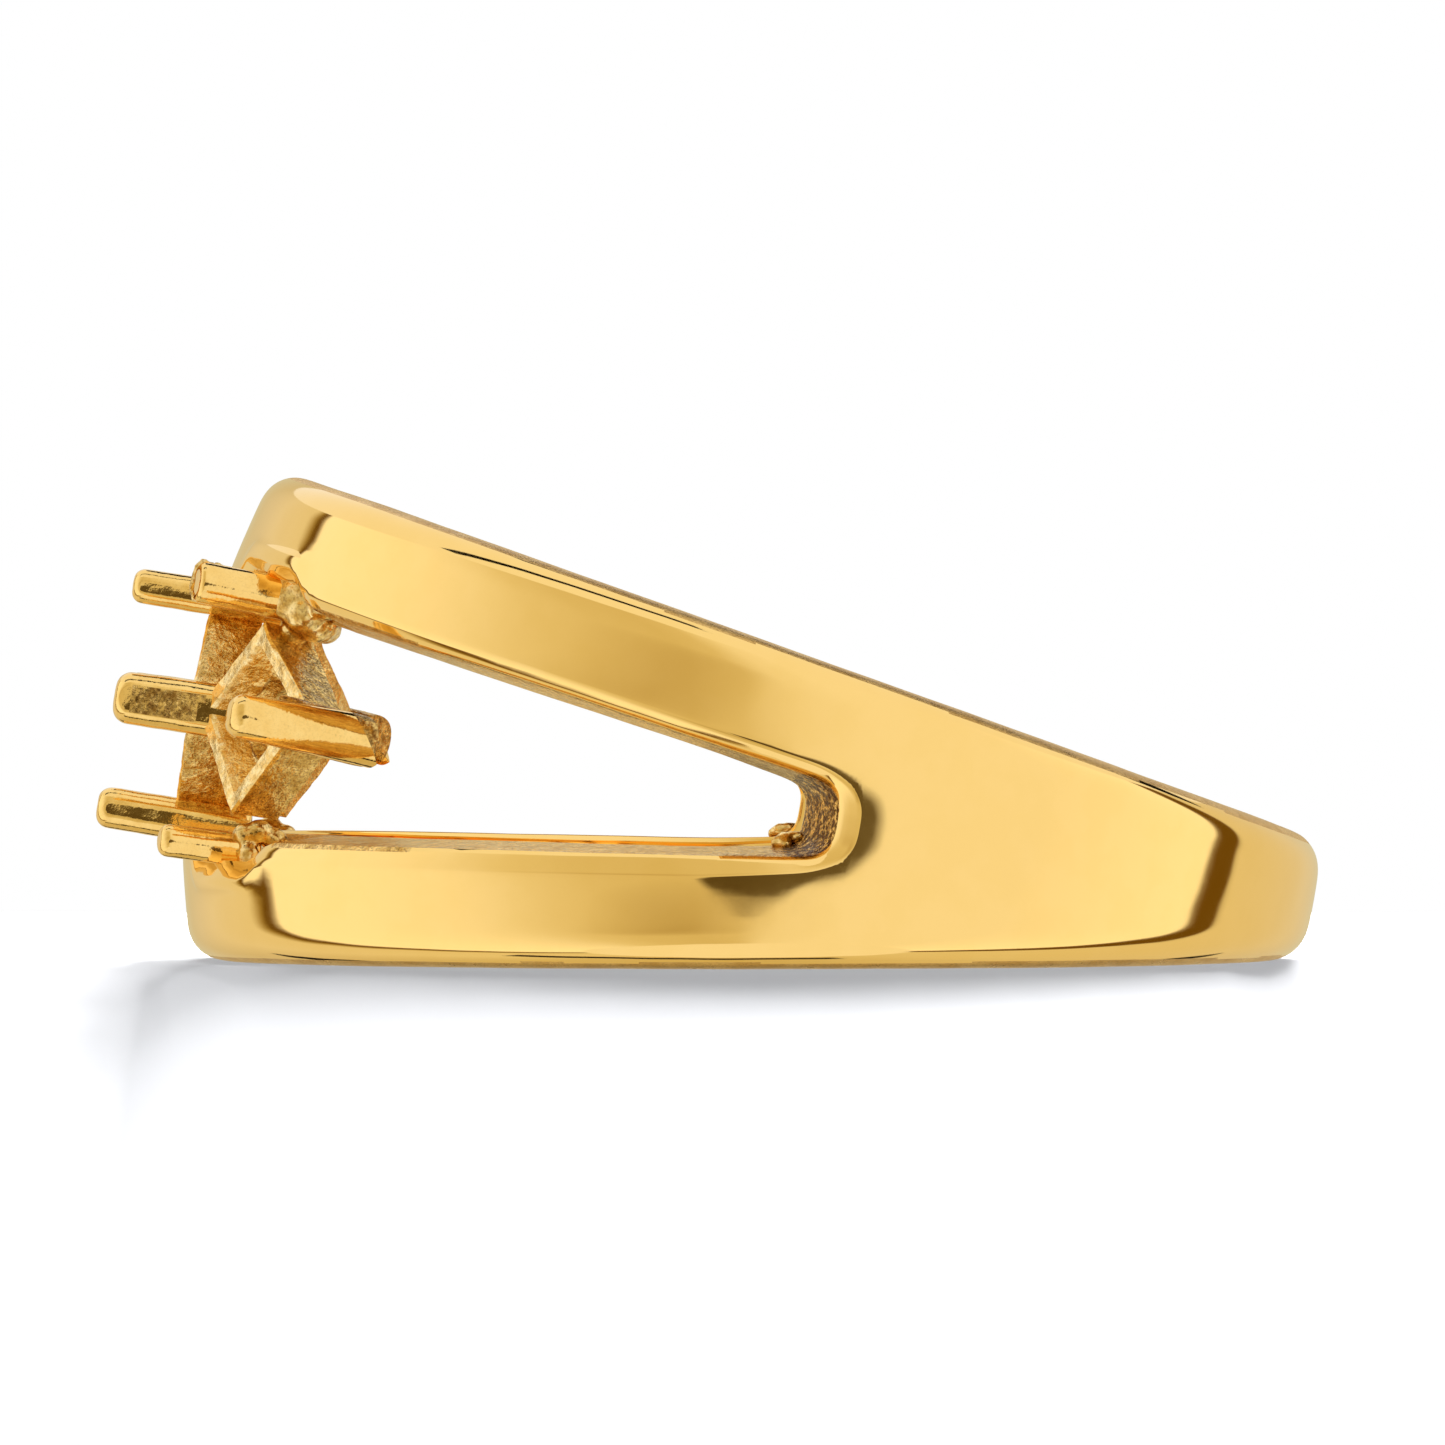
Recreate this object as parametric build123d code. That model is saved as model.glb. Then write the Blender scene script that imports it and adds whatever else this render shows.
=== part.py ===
from build123d import *
import math
import os

# A gold ring made ready for three square stones: a tapered band that splits into two
# rails, and between the rails a row of three open seats with round prongs at their
# corners. All of it is soldered, so it is one solid.
# Millimetres and degrees. While the ring is built, the finger axis is Z, the head is
# towards -X and the palm side towards +X. At the end it is laid on its side.

# Band
finger_dia = 17.35          # inside, a US size 7
band_wall = 1.73            # thickness at the crown
crown_radius = 14.0         # of the outside, seen across the width
rail_width = 2.28           # of each rail, at the head
palm_width = 2.20
outer_round = 0.58          # on the outside edges
hole_round = 0.10           # on the finger hole's edges

# Split between the rails
split_end_width = 1.30      # at the outside, where the split ends
split_end_place = 1.58      # past the ring's centre towards the palm
split_wall_lean = 6.0       # the walls open outwards by this
split_end_draft = 23.0      # the end wall opens outwards by this
split_corner = 0.35         # in the corners of the end wall
split_lip = 0.28            # on the outside edges of the split

# Seats
seat_side = 2.49            # outside of the square, for a 2.5 mm princess cut stone
seat_depth = 0.87
seat_rim = 0.20             # flat land round the opening
funnel_depth = 0.52
funnel_angle = 36.0
seat_hole_dia = 1.30
seat_gap = 0.66             # from the middle seat's corner to the edge of a rail
head_rise = 0.03            # of the middle seat's rim over the crown
side_seat_tilt = 28.5
side_seat_drop = 0.27       # of a side seat's inner corner under the middle rim

# Prongs, corner posts and solder
middle_prong_dia = 0.76
shared_prong_dia = 1.04
upper_prong_dia = 0.90
lower_prong_dia = 0.74
end_prong_dia = 0.86
prong_rise = 1.41           # over the middle seat's rim
side_prong_rise = 1.25      # over the middle of a side seat's rim
end_prong_rise = 1.36       # over the outer corner of a side seat
prong_tip_round = 0.26
prong_foot = 0.25           # reach of a foot under the seat's base
rail_bite = 0.06            # of a middle prong into its rail
end_prong_standoff = 0.26   # of its axis outside the seat's corner
lower_prong_lean = 5.0      # of the lower side prongs, away from the seat
end_prong_foot = 1.50       # under the outer corner of a side seat
corner_post_dia = 0.96
solder_dia = 0.80

# Worked out from these
finger_radius = finger_dia / 2
crown_top = finger_radius + band_wall
half_diagonal = seat_side / math.sqrt(2)
split_top_width = 2 * (half_diagonal + seat_gap)
head_width = split_top_width + 2 * rail_width
side_slope = (head_width - palm_width) / 2 / (2 * crown_top)
split_slope = (split_top_width - split_end_width) / 2 / (crown_top + split_end_place)
middle_half_width = (head_width + palm_width) / 4
rest_tilt = math.degrees(math.atan(side_slope))
rim_top = crown_top + head_rise
far = 2 * (crown_top + head_width)


def tan(angle):
    return math.tan(math.radians(angle))


def radius_at(edge, share):
    """Distance of a point of an edge from the finger axis."""
    point = edge.position_at(share)
    return math.hypot(point.X, point.Y)


def rail_edge(x):
    """Half the width of the split at the outside of the band."""
    return split_end_width / 2 + split_slope * (split_end_place - x)


def band_blank():
    """A crowned band, turned about the finger axis, with its seam at the head."""
    crown_centre = crown_top - crown_radius
    reach = math.sqrt(crown_radius**2 - (finger_radius - crown_centre) ** 2)
    low = (-finger_radius, 0, -reach)
    high = (-finger_radius, 0, reach)
    outside = ThreePointArc(low, (-crown_top, 0, 0), high)
    return revolve(make_face([outside, Line(high, low)]), Axis.Z, 360)


def side_wedge():
    """The room between the two side faces, which close in towards the palm."""
    head_half = middle_half_width + side_slope * far
    palm_half = middle_half_width - side_slope * far
    outline = Polyline(
        (-far, 0, -head_half), (far, 0, -palm_half),
        (far, 0, palm_half), (-far, 0, head_half), close=True,
    )
    return extrude(make_face(outline), far, both=True)


def tapered_band():
    band = band_blank() & side_wedge()
    outside = [
        edge for edge in band.edges()
        if radius_at(edge, 0.5) > finger_radius + outer_round / 2
    ]
    return fillet(outside, outer_round)


def split_side():
    """All that lies under the upper wall of the split, which widens towards the head."""
    at_axis = rail_edge(0) - crown_top * tan(split_wall_lean)
    at_far = at_axis + far * tan(split_wall_lean)
    outline = Polyline(
        (0, 0, -far), (far, 0, -far), (far, 0, at_far), (0, 0, at_axis), close=True,
    )
    taper = math.degrees(math.atan(split_slope))
    return revolve(make_face(outline), Axis.Z, 360).rotate(Axis.Y, taper)


def split_cutter():
    """A wedge from the head to both shoulders, with a drafted wall at each end."""
    draft = tan(split_end_draft)
    at_axis = split_end_place - crown_top * draft
    at_far = at_axis + far * draft
    outline = Polyline(
        (-far, -far), (at_far, -far), (at_axis, 0), (at_far, far), (-far, far), close=True,
    )
    upper = split_side()
    return upper & upper.mirror(Plane.XY) & extrude(make_face(outline), far, both=True)


def split_band():
    """The band with its split, and with its edges rounded."""
    band = tapered_band() - split_cutter()
    corners = [
        edge for edge in band.edges()
        if abs(radius_at(edge, 0) - radius_at(edge, 1)) > band_wall / 2
        and abs(edge.center().Z) < split_top_width / 2
    ]
    band = fillet(corners, split_corner)
    lips = [
        edge for edge in band.edges()
        if abs(edge.center().Z) < split_top_width / 2
        and min(radius_at(edge, share) for share in (0, 0.5, 1)) > crown_top - band_wall / 2
    ]
    band = fillet(lips, split_lip)
    hole_edges = [
        edge for edge in band.edges().filter_by(GeomType.ELLIPSE)
        if abs(radius_at(edge, 0.5) - finger_radius) < hole_round / 100
    ]
    return chamfer(hole_edges, hole_round)


def seat():
    """An open seat: a square block on its point, a funnel for the stone, a drilled hole."""
    block = extrude(Rectangle(seat_side, seat_side), -seat_depth)
    opening = Rectangle(seat_side - 2 * seat_rim, seat_side - 2 * seat_rim)
    funnel = extrude(opening, -funnel_depth, taper=funnel_angle)
    hole = Cylinder(seat_hole_dia / 2, 3 * seat_depth)
    return Rot(Z=45) * (block - funnel - hole)


def between(dia, start, end):
    """A round bar from one point to another."""
    way = Vector(*end) - Vector(*start)
    bar = Cylinder(dia / 2, way.length, align=(Align.CENTER, Align.CENTER, Align.MIN))
    return Plane(origin=start, z_dir=way) * bar


def prong(dia, foot, tip):
    """A round wire from its foot to a domed tip."""
    way = Vector(*tip) - Vector(*foot)
    wire = Cylinder(dia / 2, way.length, align=(Align.CENTER, Align.CENTER, Align.MIN))
    wire = fillet(wire.edges().group_by(Axis.Z)[-1], prong_tip_round)
    return Plane(origin=foot, z_dir=way) * wire


def middle_group():
    """The middle seat, and a prong between each of its free corners and a rail."""
    pieces = [Plane(origin=(-rim_top, 0, 0), x_dir=(0, 0, 1), z_dir=(-1, 0, 0)) * seat()]
    foot = rim_top - seat_depth - prong_foot
    place = split_top_width / 2 - middle_prong_dia / 2 + rail_bite
    solder_height = rim_top - seat_depth / 2
    for up in (1, -1):
        tip = (-rim_top - prong_rise, 0, up * place)
        pieces.append(prong(middle_prong_dia, (-foot, 0, up * place), tip))
        corner = (-solder_height, 0, up * (half_diagonal - solder_dia / 2))
        pieces.append(between(solder_dia, corner, (-solder_height, 0, up * place)))
    return pieces


def side_group(hand):
    """A side seat with its four prongs. Its inner prong is shared with the middle seat."""
    reach = half_diagonal * math.cos(math.radians(side_seat_tilt))
    drop = half_diagonal * math.sin(math.radians(side_seat_tilt))
    height = rim_top - side_seat_drop - drop
    y = hand * (half_diagonal + reach)
    facing = (-math.cos(math.radians(side_seat_tilt)), hand * math.sin(math.radians(side_seat_tilt)), 0)
    placed = Plane(origin=(-height, y, 0), x_dir=(0, 0, 1), z_dir=facing)
    pieces = [placed * seat()]

    foot = rim_top - seat_depth - prong_foot
    inner = hand * half_diagonal
    tip = (-rim_top - prong_rise, inner, 0)
    pieces.append(prong(shared_prong_dia, (-foot, inner, 0), tip))

    foot = height - seat_depth
    tip_height = height + side_prong_rise
    place = rail_edge(-height)
    pieces.append(prong(upper_prong_dia, (-foot, y, place), (-tip_height, y, place)))
    spread = tan(lower_prong_lean) * (tip_height - foot)
    pieces.append(prong(lower_prong_dia, (-foot, y, -place), (-tip_height, y, -place - spread)))
    solder_height = height - seat_depth / 2
    for up in (1, -1):
        corner = (-solder_height, y, up * (half_diagonal - solder_dia / 2))
        pieces.append(between(solder_dia, corner, (-solder_height, y, up * place)))

    corner_height = height - drop
    corner = y + hand * reach
    outer = corner + hand * end_prong_standoff
    tip = (-corner_height - end_prong_rise, outer, 0)
    foot = corner_height - end_prong_foot
    pieces.append(prong(end_prong_dia, (-foot, outer, 0), tip))
    pieces.append(between(corner_post_dia, (-foot, corner, 0), (-corner_height, corner, 0)))
    return pieces


def ring():
    """The band and the head in one, with the finger hole clear, lying on a side face."""
    pieces = middle_group() + side_group(1) + side_group(-1)
    head = pieces[0].fuse(*pieces[1:]) - Cylinder(finger_radius, far)
    whole = (split_band() + head).rotate(Axis.Y, rest_tilt)
    box = whole.bounding_box()
    return whole.translate((-box.center().X, 0, -box.min.Z))


os.makedirs("parts", exist_ok=True)
export_step(ring(), "parts/semi_mount_ring.step")
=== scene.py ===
import math

import bmesh
import bpy
from mathutils import Matrix, Vector


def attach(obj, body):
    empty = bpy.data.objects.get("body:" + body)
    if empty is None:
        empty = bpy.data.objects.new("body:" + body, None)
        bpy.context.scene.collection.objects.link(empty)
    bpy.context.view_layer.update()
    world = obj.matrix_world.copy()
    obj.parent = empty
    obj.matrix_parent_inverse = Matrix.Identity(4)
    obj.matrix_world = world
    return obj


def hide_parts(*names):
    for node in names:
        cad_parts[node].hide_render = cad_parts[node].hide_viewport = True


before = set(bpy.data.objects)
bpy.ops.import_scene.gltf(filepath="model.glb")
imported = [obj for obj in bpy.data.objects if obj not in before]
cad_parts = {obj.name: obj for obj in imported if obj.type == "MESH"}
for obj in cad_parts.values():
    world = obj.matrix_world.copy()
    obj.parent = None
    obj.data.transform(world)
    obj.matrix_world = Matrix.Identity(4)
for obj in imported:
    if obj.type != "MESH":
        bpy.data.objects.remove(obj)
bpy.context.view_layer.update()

# Sizes in millimetres and degrees, as on the drawing of the ring. The finger axis is Z,
# the head is towards -X and the palm side towards +X until a piece is laid down.
FINGER_RADIUS = 8.675
CROWN_TOP = 10.405
CROWN_RADIUS = 14.0
MIDDLE_HALF_WIDTH = 2.90035
SIDE_SLOPE = 0.17303
SPLIT_SLOPE = 0.14774
SPLIT_END_PLACE = 1.58
SPLIT_END_HALF = 0.65
SPLIT_LEAN = 6.0
REST_TILT = 9.8166
RING_CENTRE = (0.851, 0.0, 2.858)
HOLE_MARGIN = 0.01
MM = 0.001

# How uneven casting and hand work have left the pieces: the size of the lumps, and twice
# how far they go in and out.
BAND_WAVES = (2.6, 0.03)
SEAT_LUMPS = (0.30, 0.045)
WIRE_LUMPS = (0.35, 0.02)
SOLDER_LUMPS = (0.24, 0.045)


# Shaping tools

def hold(piece):
    """Makes a piece the only one that is selected."""
    bpy.ops.object.select_all(action="DESELECT")
    piece.select_set(True)
    bpy.context.view_layer.objects.active = piece


def start(piece, how="VERT"):
    """Opens a piece for shaping with nothing selected."""
    hold(piece)
    bpy.ops.object.mode_set(mode="EDIT")
    bpy.ops.mesh.select_mode(type=how)
    bpy.ops.mesh.select_all(action="DESELECT")


def stop():
    bpy.ops.object.mode_set(mode="OBJECT")


def middle(part):
    """Where a corner, a face or an edge has its middle."""
    if isinstance(part, bmesh.types.BMVert):
        return part.co
    if isinstance(part, bmesh.types.BMFace):
        return part.calc_center_median()
    return (part.verts[0].co + part.verts[1].co) / 2


def pick_parts(kind, test):
    """Selects the corners, edges or faces that pass a test, and nothing else."""
    mesh = bpy.context.edit_object.data
    bpy.ops.mesh.select_all(action="DESELECT")
    shape = bmesh.from_edit_mesh(mesh)
    for part in getattr(shape, kind):
        if test(part):
            part.select_set(True)
    shape.select_flush_mode()
    bmesh.update_edit_mesh(mesh)


def pick(test, kind="verts"):
    """The same, by where a part has its middle."""
    pick_parts(kind, lambda part: test(middle(part)))


def move(way):
    bpy.ops.transform.translate(value=way)


def move_each(piece, ways):
    """Moves corners one by one: ways gives each corner's number and how far it goes."""
    for index, way in ways.items():
        bpy.ops.mesh.select_all(action="DESELECT")
        shape = bmesh.from_edit_mesh(piece.data)
        shape.verts.ensure_lookup_table()
        shape.verts[index].select_set(True)
        move(way)


def draw_out(way, falloff, reach):
    """Moves what is selected and, less and less, what lies within a reach of it."""
    bpy.ops.transform.translate(
        value=way, use_proportional_edit=True,
        proportional_edit_falloff=falloff, proportional_size=reach)


def finish_modifier(piece, kind, **values):
    """Adds a modifier with these values and applies it."""
    hold(piece)
    bpy.ops.object.modifier_add(type=kind)
    modifier = piece.modifiers[-1]
    for name, value in values.items():
        setattr(modifier, name, value)
    bpy.ops.object.modifier_apply(modifier=modifier.name)


def apply_place(piece):
    hold(piece)
    bpy.ops.object.transform_apply(location=True, rotation=True, scale=True)


def lay_down(piece):
    """Turns a piece from the drawing's frame to how the ring lies, in metres."""
    piece.rotation_euler = (0, math.radians(REST_TILT), 0)
    piece.location = Vector(RING_CENTRE) * MM
    piece.scale = (MM, MM, MM)
    apply_place(piece)


SEAM = 0.0005


def tidy_mesh(piece):
    """Closes the seams, whose corners lie closer than this, and turns the faces outwards."""
    start(piece)
    bpy.ops.mesh.select_all(action="SELECT")
    bpy.ops.mesh.remove_doubles(threshold=SEAM)
    bpy.ops.mesh.normals_make_consistent(inside=False)
    stop()


lumps = {}


def roughen(piece, size, depth):
    """Makes a surface uneven: lumps of a size, in and out by half a depth."""
    if size not in lumps:
        lumps[size] = bpy.data.textures.new("lumps", "CLOUDS")
        lumps[size].noise_scale = size
        lumps[size].noise_depth = 2
    finish_modifier(piece, "DISPLACE", texture=lumps[size], strength=depth, mid_level=0.5,
                    texture_coords="LOCAL")


def clear_finger_hole(piece):
    """Trims a piece where it would stand into the finger hole."""
    bpy.ops.mesh.primitive_cylinder_add(
        vertices=256, radius=FINGER_RADIUS + HOLE_MARGIN, depth=20)
    mandrel = bpy.context.object
    finish_modifier(piece, "BOOLEAN", object=mandrel, operation="DIFFERENCE", solver="EXACT")
    bpy.data.objects.remove(mandrel)


# Shape of the band

def crown(z):
    """Radius of the outside at a distance from the middle of the width."""
    return CROWN_TOP - CROWN_RADIUS + math.sqrt(CROWN_RADIUS**2 - z * z)


def side(angle, radius):
    """Half width of the band."""
    return MIDDLE_HALF_WIDTH + SIDE_SLOPE * radius * math.cos(math.radians(angle))


def slot(angle, radius):
    """Half width of the split."""
    reach = SPLIT_END_PLACE + radius * math.cos(math.radians(angle))
    depth = CROWN_TOP - radius
    return SPLIT_END_HALF + SPLIT_SLOPE * reach - depth * math.tan(math.radians(SPLIT_LEAN))


def slot_at(x):
    """Half width of the split at a place along the flat band."""
    return slot(math.degrees(abs(x) / FINGER_RADIUS), CROWN_TOP)


def outer_edge(angle):
    """Half width of the band where its crown and its side face would meet, neared in four
    steps from a guess."""
    z = 3.0
    for _ in range(4):
        z = side(angle, crown(z))
    return z


# The band is shaped flat, as a blank one quarter of the ring long and wide. Its corners
# stand in sections along it, by angle from the head, and in columns from its middle line
# to its edge: two over the split, the lip of the split, two over the rail, and the edge.
END_ANGLE = 98.75
BORE_END_ANGLE = 95.6
SECTIONS = (
    0, 7, 14, 21, 28, 35, 42, 49, 56, 63, 70, 76, 81, 85.5, 89, 92, 94.6, 96.9,
    END_ANGLE, 100.6, 103, 106, 110, 115, 121, 128, 135, 142, 149, 156, 163, 170, 175, 180,
)
END = SECTIONS.index(END_ANGLE)
SPLIT_LENGTH = FINGER_RADIUS * math.radians(END_ANGLE)
COLUMNS = 5
LIP, RAIL, RIM, EDGE = 2, 3, 4, 5
MIDDLE_SHARES = (0, 0.52)
RAIL_SHARE = 0.38
RIM_WIDTH = 0.74
# The lip is pulled round at the end of the split: back by degrees, in to a share.
END_ROUNDING = {END: (0.8, 0.88), END - 1: (0.25, 0.985)}
# How far the inside of each column follows the side faces, the split's walls and its end.
FOLLOW_SIDE = (0, 0, 0, 0, 0.5, 1)
FOLLOW_WALL = (0, 0.5, 1, 0.5, 0, 0)
FOLLOW_END = (1, 1, 1, 0.5, 0, 0)
END_REACH = 14
# The edges of the flat band, the heights that part its outside's edges from its inside's,
# and the angle in radians from which an edge is a sharp one.
OUTER_ROUND = 0.56
LIP_CHAMFER = 0.20
LIP_CREASE = 0.55
HOLE_ROUND = 0.09
OUTSIDE_FROM = -0.6
INSIDE_FROM = -0.05
SHARP = 0.8
TOUCH = 0.01
# Hand work on the flat band: how much wider its lower lip is filed and between which
# distances from the split's edge the lip's corners lie, then the scoops beside the prongs
# and the worn part of the rails, each with its places along the band, how far from the
# split's edge it is taken, its depth and its reach. The wear is placed back from the end
# of the split.
LOWER_LIP_FILED = 0.14
LIP_FROM, LIP_TO = 0.12, 0.30
SCOOP_FROM, SCOOP_TO, SCOOP_EDGE, SCOOP_DEPTH, SCOOP_REACH = 2.3, 4.3, 0.34, 0.36, 0.75
WEAR_FROM, WEAR_TO, WEAR_EDGE, WEAR_DEPTH, WEAR_REACH = 5.5, 1.2, 0.16, 0.012, 0.6


def top_place(section, column):
    """Angle and distance from the middle for a corner of the band's outside."""
    angle = SECTIONS[section]
    edge = outer_edge(angle)
    inner = edge - RIM_WIDTH
    if section <= END:
        half = slot(angle, CROWN_TOP)
    else:
        ended = slot(END_ANGLE, CROWN_TOP) / (outer_edge(END_ANGLE) - RIM_WIDTH)
        half = ended * inner
    if column == EDGE:
        return angle, edge
    if column == RIM:
        return angle, inner
    if column == RAIL:
        return angle, half + (inner - half) * RAIL_SHARE
    if column == LIP:
        back, share = END_ROUNDING.get(section, (0, 1))
        return angle - back, half * share
    return angle, half * MIDDLE_SHARES[column]


def make_band():
    """The flat blank of the outside."""
    count = len(SECTIONS) - 1
    bpy.ops.mesh.primitive_grid_add(
        x_subdivisions=count, y_subdivisions=COLUMNS, size=2, location=(0, 0, 0))
    band = bpy.context.object
    band.name = "band"
    band.scale = (count / 2, COLUMNS / 2, 1)
    band.location = (count / 2, COLUMNS / 2, 0)
    apply_place(band)
    band.rotation_euler = (math.pi / 2, 0, 0)
    apply_place(band)

    # Each corner of the flat blank goes to its place. Height over the bore is -Y.
    start(band)
    shape = bmesh.from_edit_mesh(band.data)
    ways = {}
    for corner in shape.verts:
        angle, z = top_place(round(corner.co.x), round(corner.co.z))
        place = Vector((FINGER_RADIUS * math.radians(angle), FINGER_RADIUS - crown(z), z))
        ways[corner.index] = place - corner.co
    move_each(band, ways)
    stop()
    return band


def bore_place(section, column):
    """Where the corner of the inside lies that is under a corner of the outside."""
    angle, z = top_place(section, column)
    narrower = side(SECTIONS[section], FINGER_RADIUS) - outer_edge(SECTIONS[section])
    z += narrower * FOLLOW_SIDE[column]
    if section <= END:
        leaned = slot(angle, FINGER_RADIUS) - slot(angle, CROWN_TOP)
        z += leaned * FOLLOW_WALL[column]
    nearness = max(0.0, 1 - abs(angle - END_ANGLE) / END_REACH)
    angle -= (END_ANGLE - BORE_END_ANGLE) * nearness * FOLLOW_END[column]
    return angle, z


def round_ridges(test, offset, segments):
    """Bevels the sharp edges that pass a test."""
    pick_parts("edges", lambda edge: abs(edge.calc_face_angle(0.0)) > SHARP and test(middle(edge)))
    bpy.ops.mesh.bevel(offset=offset, segments=segments, affect="EDGES", profile=0.5)


def give_thickness(band):
    """Opens the split, then draws the blank down to the inside of the band."""
    start(band, "FACE")
    pick(lambda c: c.x < SPLIT_LENGTH and c.z < slot_at(c.x), "faces")
    bpy.ops.mesh.delete(type="FACE")
    tops = {}
    for section in range(len(SECTIONS)):
        for column in range(COLUMNS + 1):
            angle, z = top_place(section, column)
            tops[round(FINGER_RADIUS * math.radians(angle), 3), round(z, 3)] = (section, column)
    bpy.ops.mesh.select_all(action="SELECT")
    bpy.ops.mesh.extrude_region()
    bpy.ops.transform.resize(value=(1, 0, 1), center_override=(0, 0, 0))
    bpy.ops.mesh.select_mode(type="VERT")
    shape = bmesh.from_edit_mesh(band.data)
    ways = {}
    for corner in shape.verts:
        if corner.co.y > -TOUCH:
            section, column = tops[round(corner.co.x, 3), round(corner.co.z, 3)]
            angle, z = bore_place(section, column)
            way = Vector((FINGER_RADIUS * math.radians(angle), 0, z)) - corner.co
            if way.length > TOUCH / 100:
                ways[corner.index] = way
    move_each(band, ways)
    # The other three quarters mirror this one, so it stays open towards them.
    half_length = FINGER_RADIUS * math.pi
    bpy.ops.mesh.select_mode(type="FACE")
    pick(lambda c: c.x < TOUCH or c.x > half_length - TOUCH or c.z < TOUCH, "faces")
    bpy.ops.mesh.delete(type="ONLY_FACE")
    bpy.ops.mesh.select_all(action="SELECT")
    bpy.ops.mesh.delete_loose(use_verts=True, use_edges=True, use_faces=False)
    stop()
    finish_modifier(band, "MIRROR", use_axis=(True, False, True), merge_threshold=0.002)
    tidy_mesh(band)


def is_slot(c):
    """Whether a place is on the edge of the split and not on the outer edge."""
    angle = abs(math.degrees(c.x / FINGER_RADIUS))
    return angle < END_ANGLE + 0.5 and abs(c.z) < outer_edge(angle) - 1.0


def sharpen_lips():
    """Keeps the chamfer along the split crisp where it meets the outside."""
    bpy.ops.mesh.region_to_loop()
    bpy.ops.transform.edge_crease(value=LIP_CREASE)


def widen_lower_lip(band):
    """The lower lip of the split has been filed wider than the upper one."""
    ways = {}
    for corner in bmesh.from_edit_mesh(band.data).verts:
        x, y, z = corner.co
        out = -z - slot_at(x)
        if y < -1.2 and z < 0 and abs(x) < SPLIT_LENGTH - 0.3 and LIP_FROM < out < LIP_TO:
            wider = LOWER_LIP_FILED * min(1, (SPLIT_LENGTH - abs(x)) / 2)
            ways[corner.index] = Vector((0, crown(z) - crown(z - wider), -wider))
    move_each(band, ways)


def scoop_for_prongs():
    """The rails are filed away a little where the side prongs pass them."""
    for hand in (1, -1):
        for up in (1, -1):
            pick(lambda c: SCOOP_FROM < hand * c.x < SCOOP_TO and c.y < -0.5
                 and abs(up * c.z - slot_at(c.x)) < SCOOP_EDGE)
            draw_out((0, 0, up * SCOOP_DEPTH), "SMOOTH", SCOOP_REACH)


def wear_rails():
    """Polishing has rolled the outside of the rails over a little towards the split."""
    for hand in (1, -1):
        pick(lambda c: SPLIT_LENGTH - WEAR_FROM < hand * c.x < SPLIT_LENGTH - WEAR_TO
             and c.y < -1.28 and abs(c.z) < slot_at(c.x) + WEAR_EDGE)
        draw_out((0, WEAR_DEPTH, 0), "SHARP", WEAR_REACH)


def bend_band(band):
    """Rounds the edges of the flat band, then bends it round the finger."""
    start(band, "EDGE")
    round_ridges(lambda c: c.y < OUTSIDE_FROM and not is_slot(c), OUTER_ROUND, 4)
    round_ridges(lambda c: c.y < OUTSIDE_FROM and is_slot(c), LIP_CHAMFER, 1)
    sharpen_lips()
    widen_lower_lip(band)
    round_ridges(lambda c: c.y > INSIDE_FROM, HOLE_ROUND, 2)
    stop()
    finish_modifier(band, "SUBSURF", levels=2, render_levels=2)
    roughen(band, *BAND_WAVES)
    start(band)
    wear_rails()
    scoop_for_prongs()
    stop()
    finish_modifier(
        band, "SIMPLE_DEFORM", deform_method="BEND", deform_axis="Z", angle=2 * math.pi)
    band.rotation_euler = (0, 0, -math.pi / 2)
    band.location = (-FINGER_RADIUS, 0, 0)
    apply_place(band)
    tidy_mesh(band)


# The numbers of the band's finishes after the polish, the radii between which the walls of
# the split are rough, the degrees before its end from which they stay as cast, how high up
# the side faces the matte begins, and how near a face lies to what it belongs to.
CAST, MATTE, BRUSHED = 1, 2, 3
ROUGH_FROM, ROUGH_TO = FINGER_RADIUS + 0.115, CROWN_TOP - 0.31
CAST_REACH = 5
MATTE_SHARE = 0.75
NEAR_WALL, NEAR_END, NEAR_SIDE = 0.10, 0.05, 0.12


def finish_zones(band):
    """The end of the split is left as it was cast and its walls are brushed over; the outer
    edges are fine matte. All else is polished."""
    for face in band.data.polygons:
        radius = math.hypot(face.center.x, face.center.y)
        angle = math.degrees(math.atan2(abs(face.center.y), -face.center.x))
        z = abs(face.center.z)
        on_wall = (angle < END_ANGLE + 2 and z < slot(angle, radius) + NEAR_WALL
                   and abs(face.normal.z) > 0.4)
        at_end = (END_ANGLE - 6 < angle < END_ANGLE + 2
                  and z < slot(END_ANGLE, CROWN_TOP) + NEAR_END)
        matte_from = ((1 - MATTE_SHARE) * FINGER_RADIUS
                      + MATTE_SHARE * (crown(outer_edge(angle)) - OUTER_ROUND))
        if ROUGH_FROM < radius < ROUGH_TO and (on_wall or at_end):
            face.material_index = CAST if angle > END_ANGLE - CAST_REACH else BRUSHED
        elif z > side(angle, radius) - NEAR_SIDE and radius > matte_from:
            face.material_index = MATTE


# Turned pieces: wires with a domed tip

TURN_STEPS = 28
WIRE_ROWS = 9
FOOT_ROUND = 0.06
# What is left of the wire over a filed flat, and how near a face lies to be on the flat.
FLAT_LEFT = 0.06
FLAT_NEAR = 0.004


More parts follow.
